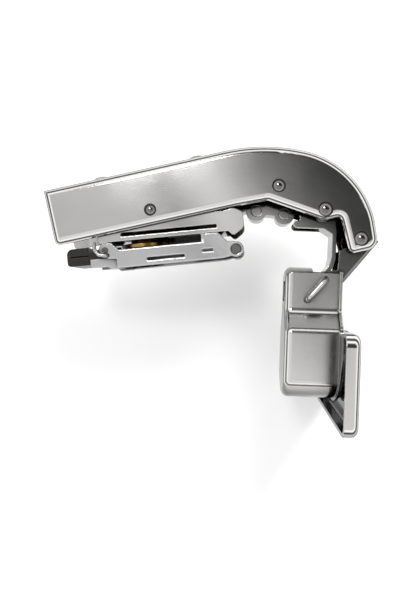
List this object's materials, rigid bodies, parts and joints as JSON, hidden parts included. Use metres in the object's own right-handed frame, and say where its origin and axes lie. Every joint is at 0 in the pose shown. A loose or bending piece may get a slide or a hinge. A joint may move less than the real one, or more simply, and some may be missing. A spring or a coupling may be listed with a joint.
{
  "type": "soft-close cabinet hinge",
  "caption": "Concealed soft-close cabinet hinge for a blind corner panel: humped arm, two links, drawn cup with screw flange, clip plate with spiral cam.",
  "frame": {"origin": "midway between the two flange screw holes, on the flange's outer face", "axes": "+X out of the cup's mouth along the flange's normal, +Y from the screw line towards the links, +Z along the pivots; shown fully open"},
  "size_m": [0.0879, 0.0709, 0.057],
  "materials": {
    "nickel": "polished nickel plate",
    "dark_nickel": "dark nickel plate",
    "nickel_cup": "polished nickel plate over a drawn sheet",
    "rivet_steel": "satin domed heads",
    "dark_steel": "dark satin",
    "bright_zinc": "bright zinc plate",
    "brass": "yellow passivated",
    "spring_wire": "drawn wire",
    "damper_body": "moulded, satin"
  },
  "bodies": {
    "base": {"clip_plate": "bright_zinc", "front_hook_pin": "rivet_steel", "lever_axle": "rivet_steel", "return_wires": "spring_wire"},
    "lever": {"release_lever": "dark_steel", "rear_latch": "bright_zinc"},
    "carriage": {"carriage": "nickel"},
    "cam": {"spiral_cam": "brass"},
    "arm": {"arm_shell": "nickel", "tilt_rivet": "rivet_steel", "rocker_rivet": "rivet_steel", "inner_link_rivet": "rivet_steel", "outer_link_rivet": "rivet_steel", "inner_link_spacers": "bright_zinc", "outer_link_spacers": "bright_zinc", "lock_screw": "bright_zinc", "damper_housing": "damper_body", "closing_springs": "spring_wire"},
    "tilt_screw": {"side_screw": "bright_zinc"},
    "rocker": {"rocker": "nickel", "rear_roller_pin": "nickel", "front_roller_pin": "nickel"},
    "damper_rod": {"damper_rod": "spring_wire"},
    "outer_link": {"outer_link": "dark_nickel"},
    "cup": {"cup": "nickel_cup", "flange": "nickel", "near_staple": "spring_wire", "far_staple": "spring_wire"},
    "inner_link": {"inner_link": "nickel"}
  },
  "joints": [
    {"name": "lever_turn", "type": "hinge", "parent": "base", "child": "lever", "pos_m": [-0.0641, 0.02938, 0], "axis": [0, 0, 1], "range_deg": [-15, 0], "stiffness_Nm_per_rad": 0.02, "springref_deg": 5.73},
    {"name": "depth_slide", "type": "slide", "parent": "base", "child": "carriage", "axis": [0.9914, 0.1305, 0], "range_m": [-0.0015, 0.0015]},
    {"name": "cam_turn", "type": "hinge", "parent": "carriage", "child": "cam", "pos_m": [-0.05424, 0.02574, 0], "axis": [-0.1305, 0.9914, 0], "range_deg": [-183, 183]},
    {"name": "arm_tilt", "type": "hinge", "parent": "carriage", "child": "arm", "pos_m": [-0.0524, 0.0401, 0], "axis": [0, 0, 1], "range_deg": [-1.5, 1.5]},
    {"name": "tilt_screw_turn", "type": "hinge", "parent": "arm", "child": "tilt_screw", "pos_m": [-0.0416, 0.05425, 0], "axis": [-0.2504, 0.9681, 0], "range_deg": [-183, 183]},
    {"name": "outer_link_swing", "type": "hinge", "parent": "arm", "child": "outer_link", "pos_m": [0.00228, 0.0346, 0], "axis": [0, 0, 1], "range_deg": [0, 4.4]},
    {"name": "cup_fold", "type": "hinge", "parent": "outer_link", "child": "cup", "pos_m": [-0.0064, 0.0238, 0], "axis": [0, 0, 1], "range_deg": [0, 93.15]},
    {"name": "inner_link_swing", "type": "hinge", "parent": "cup", "child": "inner_link", "pos_m": [-0.01095, 0.0184, 0], "axis": [0, 0, 1], "range_deg": [-69.8, 0]},
    {"name": "rocker_swing", "type": "hinge", "parent": "arm", "child": "rocker", "pos_m": [-0.0195, 0.04747, 0], "axis": [0, 0, 1], "range_deg": [0, 10.1]},
    {"name": "damper_stroke", "type": "slide", "parent": "arm", "child": "damper_rod", "axis": [0.9681, 0.2504, 0], "range_m": [-0.00115, 0]}
  ],
  "couplings": [
    {"joint": "cam_turn", "follows": "depth_slide", "rad_per_m": 2094.4},
    {"joint": "tilt_screw_turn", "follows": "arm_tilt", "ratio": 120},
    {"joint": "outer_link_swing", "follows": "cup_fold", "ratio": 0.046734},
    {"joint": "inner_link_swing", "follows": "cup_fold", "ratio": -0.7486},
    {"joint": "rocker_swing", "follows": "cup_fold", "ratio": 0.10736},
    {"joint": "damper_stroke", "follows": "cup_fold", "m_per_rad": -0.00067662}
  ]
}
